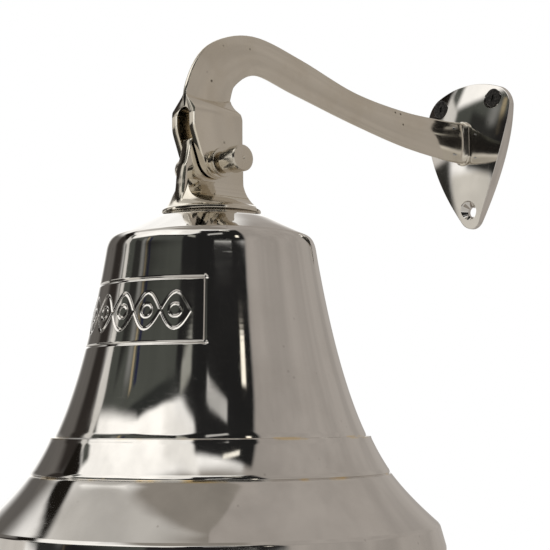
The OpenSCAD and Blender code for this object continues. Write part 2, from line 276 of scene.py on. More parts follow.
class Nodes:
    """Short calls for building a node tree."""

    def __init__(self, tree):
        self.tree = tree

    def fill(self, node, inputs):
        """Links each named input to a socket, or sets its value."""
        for name, value in inputs.items():
            if isinstance(value, bpy.types.NodeSocket):
                self.tree.links.new(value, node.inputs[name])
            else:
                node.inputs[name].default_value = value

    def add(self, kind, inputs=None, **settings):
        node = self.tree.nodes.new(kind)
        for name, value in settings.items():
            setattr(node, name, value)
        self.fill(node, inputs or {})
        return node

    def math(self, operation, a, b=0.0, clamp=False):
        return self.add("ShaderNodeMath", {0: a, 1: b}, operation=operation, use_clamp=clamp).outputs[0]

    def blend(self, factor, a, b):
        node = self.add("ShaderNodeMix", {0: factor, 6: a, 7: b}, data_type="RGBA")
        return node.outputs[2]

    def ramp(self, value, low, high, to_low=0.0, to_high=1.0, smooth=True):
        node = self.add(
            "ShaderNodeMapRange",
            {"Value": value, "From Min": low, "From Max": high, "To Min": to_low, "To Max": to_high},
            interpolation_type="SMOOTHSTEP" if smooth else "LINEAR",
        )
        return node.outputs[0]

    def noise(self, vector, scale, detail=3.0, rough=0.5):
        inputs = {"Vector": vector, "Scale": scale, "Detail": detail, "Roughness": rough}
        return self.add("ShaderNodeTexNoise", inputs).outputs["Fac"]

    def stretch(self, vector, scale):
        return self.add("ShaderNodeMapping", {"Vector": vector, "Scale": scale}).outputs["Vector"]


def new_group(name, inputs, outputs):
    group = bpy.data.node_groups.new(name, "ShaderNodeTree")
    for label, kind, value in inputs:
        socket = group.interface.new_socket(label, in_out="INPUT", socket_type=kind)
        if value is not None:
            socket.default_value = value
    for label, kind in outputs:
        group.interface.new_socket(label, in_out="OUTPUT", socket_type=kind)
    nodes = Nodes(group)
    return group, nodes, nodes.add("NodeGroupInput"), nodes.add("NodeGroupOutput")


def polish_group():
    """Hand polish: soft smears in the gloss, a slow ripple, hairlines and a few pits."""
    group, n, given, out = new_group(
        "hand_polish",
        [("Place", "NodeSocketVector", None), ("Gloss", "NodeSocketFloat", 0.06),
         ("Smears", "NodeSocketFloat", 0.05), ("Pits", "NodeSocketFloat", 0.3)],
        [("Roughness", "NodeSocketFloat"), ("Height", "NodeSocketFloat"), ("Film", "NodeSocketFloat"),
         ("Grime", "NodeSocketFloat")],
    )
    place = given.outputs["Place"]
    smear = n.ramp(n.noise(place, 38.0, 4.0, 0.6), 0.42, 0.72)
    fine = n.noise(n.stretch(place, (1.0, 1.0, 0.35)), 420.0, 5.0, 0.7)
    hair_one = n.ramp(n.noise(n.stretch(place, (2600, 2600, 90)), 1.0, 2.0), 0.66, 0.74)
    hair_two = n.ramp(n.noise(n.stretch(place, (160, 160, 3400)), 1.0, 2.0), 0.64, 0.74)
    hairs = n.math("MAXIMUM", hair_one, hair_two)
    cells = n.add("ShaderNodeTexVoronoi", {"Vector": place, "Scale": 190.0}).outputs["Distance"]
    sparse = n.ramp(n.noise(place, 60.0, 1.0), 0.6, 0.64)
    pits = n.math("MULTIPLY", n.math("MULTIPLY", n.ramp(cells, 0.16, 0.06), sparse), given.outputs["Pits"])
    rough = n.math("ADD", given.outputs["Gloss"], n.math("MULTIPLY", smear, given.outputs["Smears"]))
    rough = n.math("ADD", rough, n.math("MULTIPLY", hairs, 0.05))
    rough = n.math("ADD", rough, n.math("MULTIPLY", pits, 0.4), clamp=True)
    ripple = n.noise(place, 75.0, 1.0)
    height = n.math("ADD", ripple, n.math("MULTIPLY", fine, 0.02))
    height = n.math("SUBTRACT", height, n.math("MULTIPLY", hairs, 0.012))
    height = n.math("SUBTRACT", height, n.math("MULTIPLY", pits, 0.5))
    n.fill(out, {"Roughness": rough, "Height": height, "Film": smear, "Grime": pits})
    return group


def mottle_group():
    """A mottle with a finer grain over it, and the height that both make."""
    group, n, given, out = new_group(
        "mottle_and_grain",
        [("Place", "NodeSocketVector", None), ("Scale", "NodeSocketFloat", 500.0)],
        [("Mottle", "NodeSocketFloat"), ("Grain", "NodeSocketFloat"), ("Height", "NodeSocketFloat")],
    )
    place = given.outputs["Place"]
    scale = given.outputs["Scale"]
    mottle = n.noise(place, scale, 5.0, 0.6)
    grain = n.noise(place, n.math("MULTIPLY", scale, 9.0), 3.0, 0.6)
    height = n.math("ADD", mottle, n.math("MULTIPLY", grain, 0.4))
    n.fill(out, {"Mottle": mottle, "Grain": grain, "Height": height})
    return group


def start_material(name):
    material = bpy.data.materials.new(name)
    material.use_nodes = True
    material.node_tree.nodes.clear()
    n = Nodes(material.node_tree)
    shader = n.add("ShaderNodeBsdfPrincipled")
    n.add("ShaderNodeOutputMaterial", {"Surface": shader.outputs[0]})
    place = n.add("ShaderNodeTexCoord").outputs["Object"]
    return material, n, shader, place


def finish_shader(n, shader, paint, rough, metallic, height, depth):
    relief = n.add("ShaderNodeBump", {"Height": height, "Strength": 1.0, "Distance": depth})
    n.fill(shader, {
        "Base Color": paint, "Roughness": rough, "Metallic": metallic, "Normal": relief.outputs[0],
    })


NICKEL = (0.735, 0.712, 0.68, 1)
NICKEL_FILM = (0.66, 0.635, 0.60, 1)
WARM_NICKEL = (0.74, 0.695, 0.61, 1)
WARM_FILM = (0.66, 0.60, 0.50, 1)
GRIME = (0.10, 0.08, 0.06, 1)
# Darker nickel for the bell's inner side: painted shade laid over the rougher turned finish
SHADED_INSIDE_NICKEL = (0.44, 0.41, 0.37, 1)
TURNED_ROUGH = 0.38
ZINC = (0.6, 0.6, 0.6, 1)
ZINC_FILM = (0.5, 0.5, 0.5, 1)
BRASS = (0.84, 0.66, 0.36, 1)
BRASS_FILM = (0.7, 0.5, 0.24, 1)
BRONZE = (0.72, 0.47, 0.26, 1)
BRONZE_FILM = (0.55, 0.34, 0.18, 1)


def polished_metal(name, polish, colour, film, gloss, smears, pits, depth=0.00003, worn=None,
                   turned_and_shaded=None):
    """Polished or plated metal under a thin film and its polish marks.

    worn, if given, makes a mask of where the plating has thinned to the brass below. The attribute named by
    the last argument is 1 on the bell's inner side, where the casting was only turned: rougher there, and
    darkened as painted shade.
    """
    material, n, shader, place = start_material(name)
    marks = n.add("ShaderNodeGroup", {"Place": place, "Gloss": gloss, "Smears": smears, "Pits": pits},
                  node_tree=polish).outputs
    paint = n.blend(n.math("MULTIPLY", marks["Film"], 0.6), colour, film)
    paint = n.blend(n.math("MULTIPLY", marks["Grime"], 0.85), paint, GRIME)
    if worn:
        paint = n.blend(worn(n, place), paint, BRASS)
    rough = marks["Roughness"]
    if turned_and_shaded:
        # Inner side: rougher turned finish, and a darker colour that is painted shade
        turned_and_shaded_side = n.add("ShaderNodeAttribute", attribute_name=turned_and_shaded).outputs["Fac"]
        paint = n.blend(turned_and_shaded_side, paint, SHADED_INSIDE_NICKEL)
        rough = n.ramp(turned_and_shaded_side, 0, 1, rough, TURNED_ROUGH, smooth=False)
    finish_shader(n, shader, paint, rough, 1.0, marks["Height"], depth)
    return material


def bell_wear(n, place):
    """Brass shows along the crisp edges of the turned ledges."""
    height = n.add("ShaderNodeSeparateXYZ", {0: place}).outputs["Z"]
    patchy = n.ramp(n.noise(n.stretch(place, (1, 1, 0.3)), 60.0, 3.0), 0.5, 0.66)
    lines = 0.0
    for edge in (LINE_H, LEDGE_H):
        near = n.math("ABSOLUTE", n.math("SUBTRACT", height, (RIM_Z + edge) * MM))
        lines = n.math("MAXIMUM", n.ramp(near, 0.0009, 0.0002), lines)
    return n.math("MULTIPLY", n.math("MULTIPLY", lines, patchy), 0.7)


def dull_material(name, mottle, dark, light, scale, rough, metallic=0.0, depth=0.0001):
    """Fibre, nylon, blackened steel: a mottled colour over a fine grain."""
    material, n, shader, place = start_material(name)
    marks = n.add("ShaderNodeGroup", {"Place": place, "Scale": scale}, node_tree=mottle).outputs
    paint = n.blend(n.ramp(marks["Mottle"], 0.35, 0.68), dark, light)
    uneven = n.ramp(marks["Grain"], 0.3, 0.7, rough - 0.08, rough + 0.08)
    finish_shader(n, shader, paint, uneven, metallic, marks["Height"], depth)
    return material


# The bell

LIP_H, LINE_H, LEDGE_H = 14.0, 35.0, 50.6
LIP_R, LINE_R, LEDGE_R = MOUTH_R - 2.8, MOUTH_R - 23, MOUTH_R - 31.2
LEDGE_STEP = 1.9
WAIST_R, WAIST_H = MOUTH_R - 45.4, 78
SHOULDER_R, SHOULDER_H = MOUTH_R - 54.1, 132.7
CONE_R, CONE_H = MOUTH_R - 57.2, 136.8
SEAT_R = 21.6
WAIST_WALL, LIP_WALL = 3.6, 6.0
PANEL_LOW, PANEL_HIGH, PANEL_HALF = 88.0, 115.6, 50.0
PANEL_STEPS, REST_STEPS = 264, 76
PANEL_R, PANEL_ROW, FRAME_DEPTH = 52.0, 0.35, 0.4
WAVE_LEN, WAVE_SWING, WAVE_REACH, WAVE_DEPTH, BEAD_R = 26.0, 7.4, 39.0, 0.3, 2.6
CROWN_WALL, BELL_HOLE_R, GASKET_R, GASKET_T = 5.0, 5.2, 12.05, 0.6

# The ornament moves the wall's vertices that are at least this far from the bell's axis
ENGRAVED_FROM_R = 46.0


def refine(points, low, high, step):
    """Adds rows between two heights of a profile, so that fine engraving has vertices to move."""
    run = []
    for (r0, z0), (r1, z1) in zip(points, points[1:]):
        run.append((r0, z0))
        if low <= max(z0, z1) and min(z0, z1) <= high:
            n = max(1, round(abs(z1 - z0) / step))
            run += [(r0 + (r1 - r0) * i / n, z0 + (z1 - z0) * i / n) for i in range(1, n)]
    return run + [points[-1]]


def bell_outside():
    """The outside from the foot of the lip up to the seat of the crown."""
    line_foot = (LINE_R + 0.9, LINE_H - 0.9)
    line_top = (LINE_R - 0.6, LINE_H + 1.5)
    ledge_top = (LEDGE_R - LEDGE_STEP - 0.35, LEDGE_H + 1.2)
    shoulder = (SHOULDER_R + 0.25, SHOULDER_H - 3)
    flare = bow((LIP_R - 0.4, LIP_H + 0.3), (LIP_R - 12.5, 25), line_foot, 20)
    line = rounded([
        flare[-1], line_foot, (LINE_R + 0.35, LINE_H - 0.25, 0.15), (LINE_R - 0.75, LINE_H - 0.1, 0.2),
        (LINE_R - 0.25, LINE_H + 0.55, 0.15), line_top,
    ])
    middle = bow(line_top, (LINE_R - 4.9, 43), (LEDGE_R, LEDGE_H - 0.3), 14)
    ledge = rounded([
        middle[-2], (LEDGE_R, LEDGE_H, 0.3), (LEDGE_R - LEDGE_STEP - 0.1, LEDGE_H + 0.15, 0.25), ledge_top,
    ])
    waist = bow(ledge_top, (WAIST_R, WAIST_H), shoulder, 36)
    top = bow(shoulder, (MOUTH_R - 54.6, 135.6), (CONE_R, CONE_H), 12)
    foot = rounded([
        (MOUTH_R - 3, 0), (MOUTH_R - 1.4, 0, 0.6), (MOUTH_R, 1.6, 1.5), (MOUTH_R + 0.1, 4.5, 4),
        (LIP_R + 0.55, LIP_H - 0.9, 2), (LIP_R - 0.4, LIP_H + 0.3, 0.5), flare[1],
    ], n=6)
    cone = [(CONE_R - 7, CONE_H + 3.47), (CONE_R - 14, CONE_H + 6.94), (SEAT_R, BELL_H)]
    return foot[:-1] + flare[1:-1] + line[:-1] + middle[:-1] + ledge[1:-1] + waist + top[1:] + cone


def bell_inside():
    """The wall from under the shoulder down to the lip's foot."""
    shoulder = SHOULDER_R - WAIST_WALL
    waist = LEDGE_R - LEDGE_STEP - WAIST_WALL
    lip = MOUTH_R - LIP_WALL
    return (
        bow((CONE_R - 3, CONE_H - 4.2), (shoulder + 0.4, SHOULDER_H), (shoulder + 0.6, SHOULDER_H - 6), 6)
        + bow((shoulder + 0.9, SHOULDER_H - 8), (WAIST_R - WAIST_WALL, WAIST_H), (waist - 0.4, LEDGE_H), 12)
        + bow((waist + 0.2, LEDGE_H - 2), (LINE_R - 1.5 * WAIST_WALL + 2, LINE_H - 6), (lip - 4, 9), 10)
        + rounded([(lip - 4, 9), (lip, 2.4, 3), (lip + 1.5, 0, 1), (MOUTH_R - 3, 0)])[1:]
    )


def groove(distance, width):
    """How deep a cut is, from 0 to 1, at a distance from its middle line."""
    t = min(max((width * 0.62 - abs(distance)) / (width * 0.42), 0.0), 1.0)
    return t * t * (3 - 2 * t)


def engraving(along, height):
    """Depth in mm of the panel's ornament: a frame, and two waves that cross round a row of beads."""
    half_w = math.radians(PANEL_HALF) * PANEL_R
    half_h = (PANEL_HIGH - PANEL_LOW) / 2
    x, z = abs(along), height - (PANEL_LOW + PANEL_HIGH) / 2
    if x > half_w + 1 or abs(z) > half_h + 1:
        return 0.0
    depth = 0.0
    if x < half_w + 0.3 and abs(z) < half_h + 0.3:
        depth = FRAME_DEPTH * max(groove(x - half_w + 0.6, 1.0), groove(abs(z) - half_h + 0.6, 1.0))
    if x < WAVE_REACH:
        turn = 2 * math.pi * along / WAVE_LEN
        steep = math.hypot(1, WAVE_SWING * 2 * math.pi / WAVE_LEN * math.cos(turn))
        waves = max(groove((z - s * WAVE_SWING * math.sin(turn)) / steep, 0.9) for s in (-1, 1))
        step = WAVE_LEN / 2
        bead = math.hypot((along / step - 0.5 - round(along / step - 0.5)) * step, z)
        depth = max(depth, WAVE_DEPTH * waves, WAVE_DEPTH * groove(bead - BEAD_R, 0.8))
    return depth


def build_bell(material):
    outside = refine(bell_outside(), PANEL_LOW - 1, PANEL_HIGH + 1, PANEL_ROW)
    floor = BELL_H - GASKET_T
    under = BELL_H - CROWN_WALL
    profile = (
        [(BELL_HOLE_R, floor), (GASKET_R, floor), (GASKET_R, BELL_H)] + outside[::-1]
        + bell_inside()[-2::-1] + [(20, under), (BELL_HOLE_R, under)]
    )
    bm = bmesh.new()
    edge = PANEL_HALF + 1.5
    lathe(bm, profile, closed=True, steps=PANEL_STEPS, turn=2 * edge, start=-90 - edge)
    lathe(bm, profile, closed=True, steps=REST_STEPS, turn=360 - 2 * edge, start=-90 + edge)
    bmesh.ops.remove_doubles(bm, verts=bm.verts, dist=0.01)
    for v in bm.verts:
        r = math.hypot(v.co.x, v.co.y)
        if r > ENGRAVED_FROM_R and PANEL_LOW - 1 < v.co.z < PANEL_HIGH + 1:
            depth = engraving(math.atan2(v.co.x, -v.co.y) * PANEL_R, v.co.z)
            v.co.x *= 1 - depth / r
            v.co.y *= 1 - depth / r
    bell = piece("turned_bell", solid(bm), "bell", "bell_shell", material, sharp=50)
    # Marks the bell's inner side, which the plating leaves rougher as turned metal and darkens as painted
    # shade
    inner = bell.data.attributes.new("inner_side", "FLOAT", "POINT")
    for v, side in zip(bell.data.vertices, inner.data):
        outward = Vector((v.co.x, v.co.y - AXIS_Y * MM, 0))
        side.value = float(outward.dot(v.normal) < 0 and v.co.z < (RIM_Z + BELL_H - 2) * MM)


# The crown

TONGUE_T = 6.6
FLANGE_R, FLARE_H = 21.8, BELL_H + 14
STUD_R, STUD_HOLE_R, STUD_LOW = 5.0, 5.05, BELL_H - 19.3
BUSH_R = 4.5


def tongue_outline():
    """The tongue from the side: depth from the bell's axis and height above the rim."""
    top = PIVOT_H + 10.5 - BELL_H
    run = (
        bow((-20.5, 1.6), (-17.4, 5.5), (-17, 14), 12) + bow((-16.4, 20), (-14.2, 26), (-13.4, 31), 8)
        + bow((-13.3, 31.7), (-13.2, top), (-9.5, top), 8) + bow((12, top), (15.6, top), (15.6, 31.6), 8)
        + bow((15.6, 18), (15.6, 6), (20.5, 1.6), 16)
    )
    return [(y, z + BELL_H) for y, z in run]


def build_crown(material):
    """A flared flange over its stud, cut to the flanks, with the flat tongue and its bore."""
    disc = rounded([
        (STUD_R, BELL_H), (FLANGE_R, BELL_H, 0.3), (FLANGE_R, BELL_H + 1.4, 0.5), (20.9, BELL_H + 1.9),
    ])
    flare = bow((20.9, BELL_H + 1.9), (17.6, BELL_H + 5), (15.8, FLARE_H), 16)
    flange = turned([(0, STUD_LOW), (STUD_R, STUD_LOW)] + disc + flare[1:] + [(0, FLARE_H)], steps=120)
    flank = bow((22, BELL_H + 2.2), (4.8, BELL_H + 3.2), (TONGUE_T / 2 + 0.2, FLARE_H + 0.1), 28)
    sides = [(22.5, BELL_H - 25), (22.5, BELL_H + 2.2)] + flank
    sides += [(-x, z) for x, z in sides[::-1]]
    crown = combine(flange, slab(sides, 60, turn=FROM_FRONT), "INTERSECT")
    tongue = soften(slab(tongue_outline(), TONGUE_T, turn=FROM_SIDE), 0.5)
    crown = combine(crown, tongue, "UNION")
    bore = slab(circle(0, PIVOT_H, BUSH_R, 36), 20, turn=FROM_SIDE)
    crown = combine(crown, bore, "DIFFERENCE")
    piece("crown_casting", crown, "bell", "crown_lug", material, sharp=40)


# The bracket

# Stations along the arm: depth from the bell's axis, height above the rim, and how deep the section is
ARM_RUN = [
    (-2.2, 191, 26.2), (-2.2, 201, 25.2), (5, 214.7, 22.6), (24, 222.8, 18.2), (51, 217.2, 18),
    (86, 208, 15.8), (121, 202.4, 18), (150, 200.6, 20.6), (REACH - 12, ARM_H, 21.6),
]
ARM_MID, ARM_EDGE = 2.5, 1.1
ARM_END = 10.9

# The flare over the foot: distance from the wall, half thickness at mid height, radius of the edge
FOOT_FLARE = [
    (11.6, 2.8, 1.9), (10.8, 3.15, 2.5), (10.2, 3.6, 3.1), (9.7, 4.15, 3.8), (9.2, 4.75, 4.5),
    (7.8, 4.75, 4.5),
]
FOOT_Y, FOOT_W, FOOT_H = 7.0, 10.0, 23.5
FORK_HALF = 8.3
SLOT_HALF, SLOT_TOP = 4.4, 193.5
EAR_Y, EAR_H, EAR_R = -1.2, 172, 9.4
EAR_FRONT, EAR_BACK = -15.5, 11.0
BELOW_EARS = 150
PIN_HOLE_R = 3.05


def glide(p, q, r, s, t):
    """Point between q and r on a smooth curve through all four."""
    p, q, r, s = (Vector(v) for v in (p, q, r, s))
    return 0.5 * (2 * q + (r - p) * t + (2 * p - 5 * q + 4 * r - s) * t**2 + (3 * q - p - 3 * r + s) * t**3)


def arm_section(half, mid, edge):
    """Ring of (across, along the section) points: two crowned faces and two round edges."""
    side = bow((edge, -half + edge), (2 * mid - edge, 0), (edge, half - edge), 14)
    cap = arc(0, half - edge, edge, 0, 180, 8)[1:-1]
    run = side + cap
    return run + [(-x, -w) for x, w in run]


def arm_rings():
    """The sections of the arm as rings of points, ending in the flare over the foot."""
    run = []
    last = len(ARM_RUN) - 1
    for i in range(last):
        around = (ARM_RUN[max(i - 1, 0)], ARM_RUN[i], ARM_RUN[i + 1], ARM_RUN[min(i + 2, last)])
        run += [glide(*around, j / 8) for j in range(8)]
    stations = []
    for i, here in enumerate(run):
        way = run[min(i + 1, len(run) - 1)] - run[max(i - 1, 0)]
        flare = max(0.0, (here.x - (REACH - 24)) / 12)
        grow = min(flare, 1.0) ** 2
        section = arm_section(here.z / 2, ARM_MID + 0.15 * grow, ARM_EDGE + 0.5 * grow)
        stations.append((here.x, here.y, Vector((way.x, way.y)).normalized(), section))
    for back, mid, edge in FOOT_FLARE:
        stations.append((REACH - back, ARM_H, Vector((1, 0)), arm_section(ARM_END, mid, edge)))
    return [
        [(x, depth - way.y * w, height + way.x * w) for x, w in section]
        for depth, height, way, section in stations
    ]


def build_arm():
    bm = bmesh.new()
    for end in skin(bm, arm_rings()):
        bmesh.ops.edgeloop_fill(bm, edges=end)
    return solid(bm)


def fork_slot(half):
    """A cut through the fork from below, with a round top."""
    top = arc(0, SLOT_TOP - SLOT_HALF, half, 0, 180, 20)
    return slab([(-half, BELOW_EARS), (half, BELOW_EARS)] + top, 80, turn=FROM_FRONT)


def build_fork():
    """The block that carries the two ears, before it is joined to the arm."""
    ear = arc(EAR_Y, EAR_H, EAR_R, 200, 340, 24)
    front_edge = [(EAR_FRONT + 0.7, 199.6), (EAR_FRONT, 190, 6), (EAR_FRONT + 0.1, 183.5, 14), ear[0]]
    back_edge = [
        ear[-1], (EAR_BACK, 178, 6), (EAR_BACK, 190, 5), (EAR_BACK - 2.2, 195, 4), (EAR_BACK - 0.9, 199.6),
    ]
    block = slab(rounded(front_edge) + ear[1:-1] + rounded(back_edge), 30, turn=FROM_SIDE)
    half = [
        (FORK_HALF, BELOW_EARS), (FORK_HALF, 191.6), (FORK_HALF - 0.15, 192.2), (2.4, 197.7), (1.1, 199.3),
    ]
    face = half + [(-x, z) for x, z in half[::-1]]
    block = combine(block, slab(face, 80, turn=FROM_FRONT), "INTERSECT")
    block = combine(block, fork_slot(SLOT_HALF), "DIFFERENCE")
    return soften(block, 0.55, 3, 38)


def foot_outline(play, n):
    """The foot's stadium shape, grown by some play."""
    straight, r = (FOOT_H - FOOT_W) / 2, FOOT_W / 2 + play
    return arc(0, straight, r, 0, 180, n) + arc(0, -straight, r, 180, 360, n)


def build_bracket(material):
    """The arm, slotted a little wider than the fork that then joins it, the pin's hole and the foot."""
    arm = combine(build_arm(), fork_slot(SLOT_HALF + 0.3), "DIFFERENCE")
    arm = combine(arm, build_fork(), "UNION")
    pin = slab(circle(0, PIVOT_H, PIN_HOLE_R, 36), 30, turn=FROM_SIDE)
    arm = combine(arm, pin, "DIFFERENCE")
    collar_t = 2.3
    collar = slab([(x, z + ARM_H) for x, z in foot_outline(0, 24)], collar_t, turn=FROM_FRONT)
    collar = placed(soften(collar, 0.95, 5), y=REACH - FOOT_Y - collar_t / 2)
    arm = combine(arm, collar, "UNION")
    piece("swan_neck_bracket", arm, "bracket", "bracket_arm", material, sharp=35)


# The wall plate

HOLE_X, HOLE_Z, LOW_HOLE_Z = 18.0, 22.0, -35.5
HOLE_R, SINK_R = 2.6, 4.95
FOOT_SCREW_Z = 6.5
DOME_R, DOME_Z = 150.0, -4.0
PLATE_TOP, PLATE_TIP, TIP_R = 32.0, -44.5, 7.0
PLATE_MID = -3.0
CORNER_X, CORNER_Z, CORNER_R = 15.6, 16.5, 12.6


def plate_outline():
    """The shield's outline: a flat bow on top, round shoulders, and sides drawn in to a round tip."""
    def on_corner(turn):
        turn = math.radians(turn)
        return (CORNER_X + CORNER_R * math.cos(turn), CORNER_Z + CORNER_R * math.sin(turn))

    low_z = PLATE_TIP + TIP_R
    low = (TIP_R * math.cos(math.radians(-28)), low_z + TIP_R * math.sin(math.radians(-28)))
    half = (
        bow((0, PLATE_TOP), (11, PLATE_TOP), on_corner(62), 10)
        + arc(CORNER_X, CORNER_Z, CORNER_R, 55, 12, 12)
        + bow(on_corner(5), (27, -7), low, 26)
        + arc(0, low_z, TIP_R, -36, -84, 8)
    )
    return half + [(0, PLATE_TIP)] + [(-x, z) for x, z in half[:0:-1]]


def dome(x, z):
    """Depth of the plate's crowned face at a point."""
    return PLATE_T - DOME_R + math.sqrt(DOME_R**2 - x**2 - (z - DOME_Z) ** 2)


def plate_blank():
    """The plate without holes, as rings that close in from its edge over the crowned face."""
    outline = plate_outline()
    rings = [[(x, z, 0) for x, z in outline]]
    for share in [1, 0.988, 0.976, 0.964] + [0.95 - 0.05 * i for i in range(19)]:
        ring = [(x * share, PLATE_MID + (z - PLATE_MID) * share) for x, z in outline]
        rings.append([(x, z, dome(x, z)) for x, z in ring])
    bm = bmesh.new()
    back, centre = skin(bm, rings)
    bmesh.ops.edgeloop_fill(bm, edges=back)
    last = bmesh.ops.edgeloop_fill(bm, edges=centre)["faces"]
    bmesh.ops.poke(bm, faces=last)
    return soften(placed(solid(bm), FROM_FRONT), 0.9, 4, 50)


def build_plate(material):
    plate = plate_blank()
    for x, z in ((HOLE_X, HOLE_Z), (-HOLE_X, HOLE_Z), (0, LOW_HOLE_Z)):
        sink = dome(x, z) - 0.35
        hole = turned([
            (0, -1), (HOLE_R, -1), (HOLE_R, sink - 2.5), (SINK_R, sink), (SINK_R + 0.3, sink + 0.3),
            (SINK_R + 0.65, sink + 1), (SINK_R + 0.65, 12), (0, 12),
        ], steps=64)
        plate = combine(plate, placed(hole, OUT_OF_WALL, x=x, z=z), "DIFFERENCE")
    plate = combine(plate, slab(foot_outline(0.06, 20), 4, FOOT_Y + 2, turn=FROM_FRONT), "DIFFERENCE")
    for z in (-FOOT_SCREW_Z, FOOT_SCREW_Z):
        hole = turned([(0, -1), (5, -1), (5, 0), (HOLE_R, 2.6), (HOLE_R, 12), (0, 12)], steps=48)
        plate = combine(plate, placed(hole, OUT_OF_WALL, z=z), "DIFFERENCE")
    piece("shield_plate", plate, "bracket", "wall_plate", material, at=Matrix(), sharp=35)


# Fasteners

def thread(radius, depth, pitch, start, end):
    """A closed screw thread wound round the Z axis, its foot sunk a little into the shank."""
    bm = bmesh.new()
    foot_r, foot, crest = radius - depth - 0.25, pitch * 0.34, pitch * 0.06
    geom = add_run(bm, [(foot_r, -foot), (radius, -crest), (radius, crest), (foot_r, foot)], closed=True)
    bmesh.ops.translate(bm, verts=geom[:4], vec=(0, 0, start + pitch * 0.4))
    rise = end - start - pitch * 0.8
    turns = rise / pitch
    steps = max(8, int(turns * 24))
    bmesh.ops.spin(bm, geom=geom, cent=(0, 0, 0), axis=(0, 0, 1), dvec=(0, 0, rise / steps),
                   angle=turns * 2 * math.pi, steps=steps)
    bmesh.ops.holes_fill(bm, edges=[e for e in bm.edges if e.is_boundary])
    return solid(bm)


def cross_arm(turn):
    """One arm of a cross recess, narrower at its floor."""
    half_l, half_w, deep = 2.5, 0.48, 2.6
    corners = [(-half_l, -half_w, 0.2), (half_l, -half_w, 0.2), (half_l, half_w, 0.2), (-half_l, half_w, 0.2)]
    cut = slab(rounded(corners, closed=True), deep)
    for v in cut.data.vertices:
        if v.co.z > 0:
            v.co.x *= 0.35
            v.co.y *= 0.7
    return placed(cut, Matrix.Rotation(math.radians(turn), 4, "Z"))


def build_wall_screws(material):
    head_r, proud = 4.8, 4.9
    pair = []
    for x in (-HOLE_X, HOLE_X):
        screw = turned(rounded([
            (0, 0.0), (head_r - 0.35, 0.02, 0.2), (head_r, 0.3, 0.2), (head_r - 0.1, 0.55), (2.1, 2.9, 0.4),
            (2.0, 5.0), (1.7, 5.2), (1.7, 9.4), (0.15, 13.3), (0, 13.4),
        ]), steps=64)
        for turn in (20, 110):
            screw = combine(screw, cross_arm(turn), "DIFFERENCE")
        screw = meshed(screw, thread(radius=2.3, depth=0.6, pitch=1.5, start=5.0, end=10.2))
        pair.append(placed(screw, INTO_WALL, x=x, y=-proud, z=HOLE_Z))
    piece("wood_screws", meshed(*pair), "bracket", "wall_screws", material, at=Matrix())


def build_arm_screws(material):
    pair = []
    for z in (-FOOT_SCREW_Z, FOOT_SCREW_Z):
        screw = turned(rounded([
            (0, 0), (4.5, 0, 0.15), (4.7, 0.25, 0.1), (2.1, 2.5, 0.3), (1.98, 3.2), (1.98, 17.6),
            (1.4, 18), (0, 18),
        ]), steps=48)
        socket = slab(circle(0, 0, 2.0, 6), 2.4)
        screw = combine(screw, socket, "DIFFERENCE")
        pair.append(placed(screw, OUT_OF_WALL, y=-0.1, z=z))
    piece("foot_screws", meshed(*pair), "bracket", "arm_screws", material, at=Matrix())


# The pivot, drawn along Z about its own middle

ON_PIVOT = ON_BELL @ Matrix.Translation((0, 0, PIVOT_H)) @ ALONG_X
KNOB_R = 5.8
SEAT = 9.5
KNOB_END = SEAT + 13.0


def ring(inner, outer, low, high, soft, steps):
    """A flat washer, gasket or bush with softened outer edges."""
    return turned(rounded([
        (inner, low), (outer, low, soft), (outer, high, soft), (inner, high),
    ], closed=True), closed=True, steps=steps)


def build_bolt(material):
    neck = -KNOB_END + 4.6
    cap = bow((0.01, -KNOB_END), (KNOB_R - 0.3, -KNOB_END + 0.2), (KNOB_R, neck), 12)
    shank = rounded([
        (KNOB_R, neck), (KNOB_R, -SEAT, 0.4), (3.0, -SEAT), (3.0, KNOB_END - 3), (0, KNOB_END - 3),
    ])
    bolt = turned([(0, -KNOB_END)] + cap + shank[1:], steps=72)
    piece("pivot_bolt_head", bolt, "bracket", "pivot_bolt", material, at=ON_PIVOT)


def build_nut(material):
    """A round cap nut with a centre mark, over a low hexagon."""
    cap = turned(rounded([
        (0, KNOB_END - 0.9), (0.75, KNOB_END - 0.05, 0.1), (KNOB_R - 0.6, KNOB_END, 0.25),
        (KNOB_R, KNOB_END - 0.7, 0.3), (KNOB_R, SEAT + 6.6, 0.3), (KNOB_R - 0.8, SEAT + 6.1, 0.3),
        (KNOB_R - 0.8, SEAT + 2), (PIN_HOLE_R, SEAT + 2), (PIN_HOLE_R, KNOB_END - 2.6), (0, KNOB_END - 2.6),
    ]), steps=96)
    hexagon = slab(circle(0, 0, KNOB_R + 0.5, 6), 5.2, SEAT + 2.6)
    chamfer = turned(rounded([
        (PIN_HOLE_R, SEAT - 1), (KNOB_R - 0.4, SEAT - 1), (KNOB_R + 0.6, SEAT + 0.6),
        (KNOB_R + 0.6, SEAT + 4.6), (KNOB_R - 0.4, SEAT + 5.8), (PIN_HOLE_R, SEAT + 5.8),
    ], closed=True), closed=True, steps=72)
    hexagon = combine(hexagon, chamfer, "INTERSECT")
    nut = combine(cap, soften(hexagon, 0.18, 2, 40), "UNION")
    piece("round_nut", nut, "bracket", "pivot_nut", material, at=ON_PIVOT)


def washer_pair(middle, thick, outer):
    """Two washers, each at the same distance from the middle of the pivot."""
    return meshed(*[
        ring(PIN_HOLE_R, outer, side * middle - thick / 2, side * middle + thick / 2, 0.25, 72)
        for side in (-1, 1)
    ])


